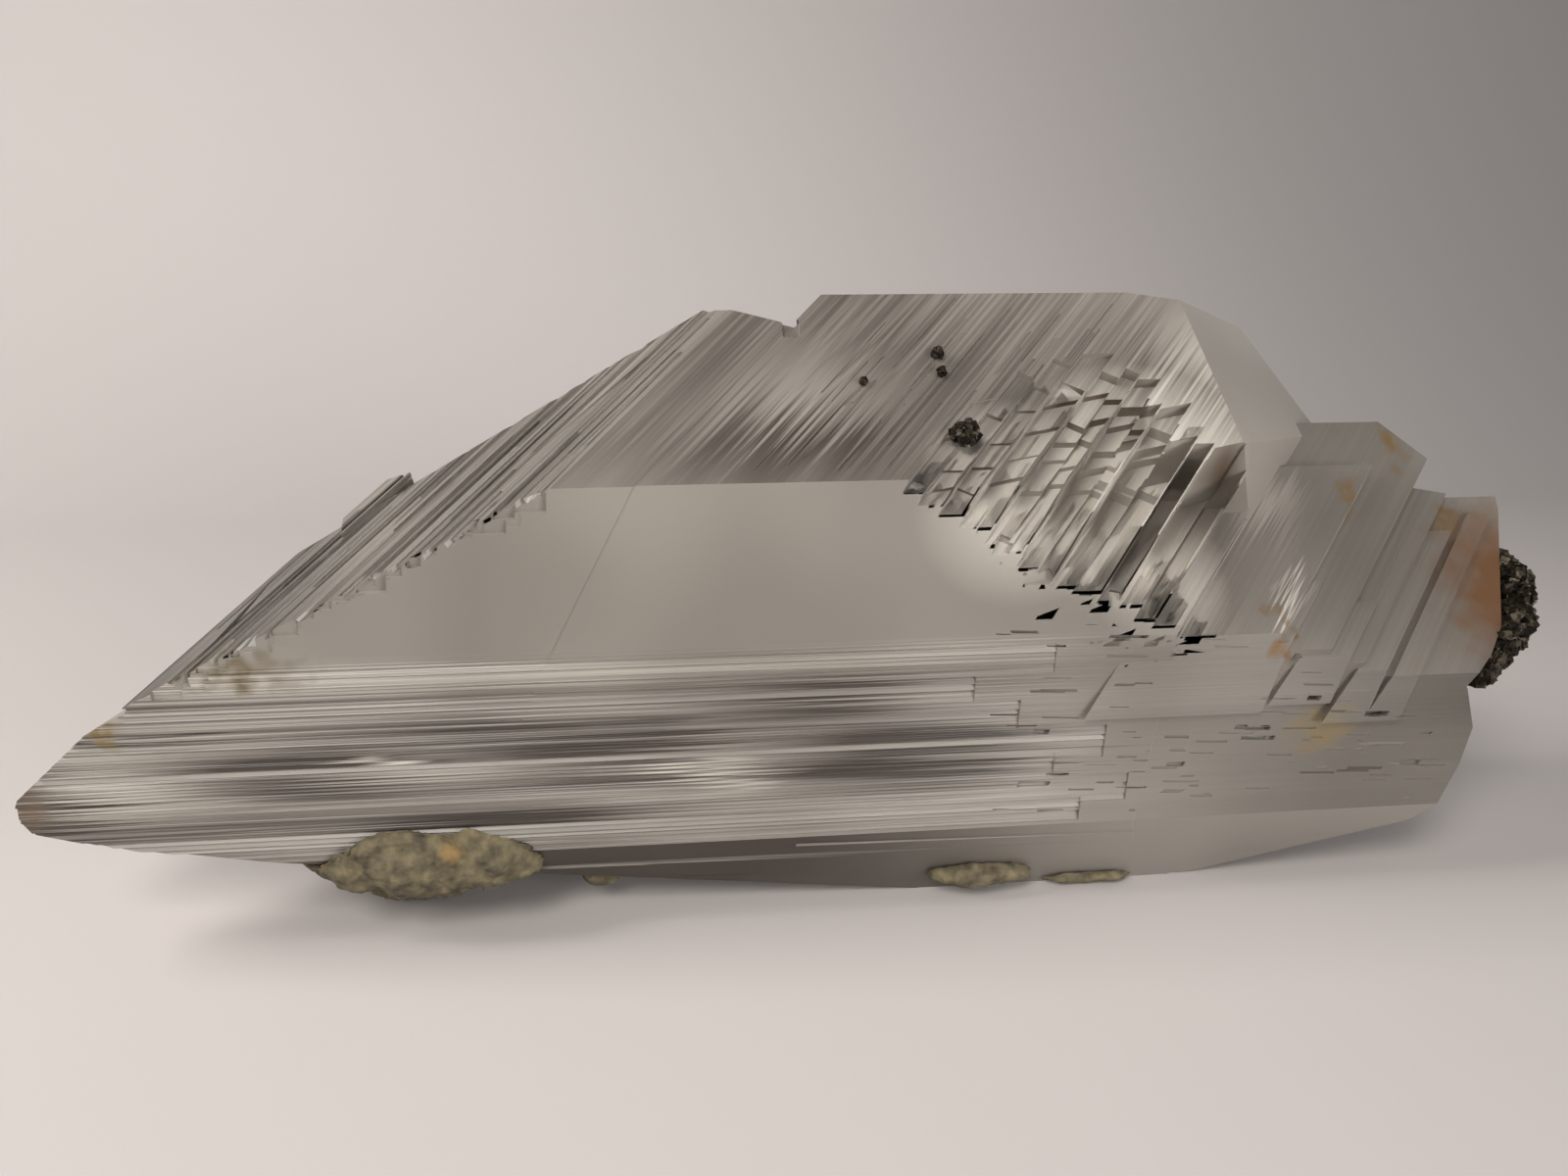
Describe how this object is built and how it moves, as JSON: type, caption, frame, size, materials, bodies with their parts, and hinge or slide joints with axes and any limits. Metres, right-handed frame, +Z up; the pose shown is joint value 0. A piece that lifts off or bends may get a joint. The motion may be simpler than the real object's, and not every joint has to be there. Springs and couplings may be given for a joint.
{
  "type": "selenite crystal specimen",
  "caption": "Long see-through gypsum crystal blade lying on its side, with stepped growth plates, a pointed end, and dark matrix and pyrite grown on.",
  "frame": {"origin": "on the supporting surface, under the middle of the whole piece's bounding box", "axes": "+X along the long axis of the crystal toward the blunt end with the pyrite crust, +Y from the striated front to the plain far side, +Z up"},
  "size_m": [0.2786, 0.0624, 0.1127],
  "materials": {
    "selenite": "see-through gypsum, satin growth faces with fine striations, faint warm grey tint",
    "matrix_stone": "dull granular grey-green and ochre matrix",
    "pyrite": "dark bronze, small sparkling crystal faces"
  },
  "bodies": {
    "root": {"crystal": "selenite", "matrix_lump": "matrix_stone", "matrix_crumb": "matrix_stone", "matrix_patch": "matrix_stone", "matrix_strip": "matrix_stone", "pyrite_crust": "pyrite", "pyrite_cluster": "pyrite", "pyrite_grain_high": "pyrite", "pyrite_grain_mid": "pyrite", "pyrite_grain_left": "pyrite"}
  },
  "joints": []
}
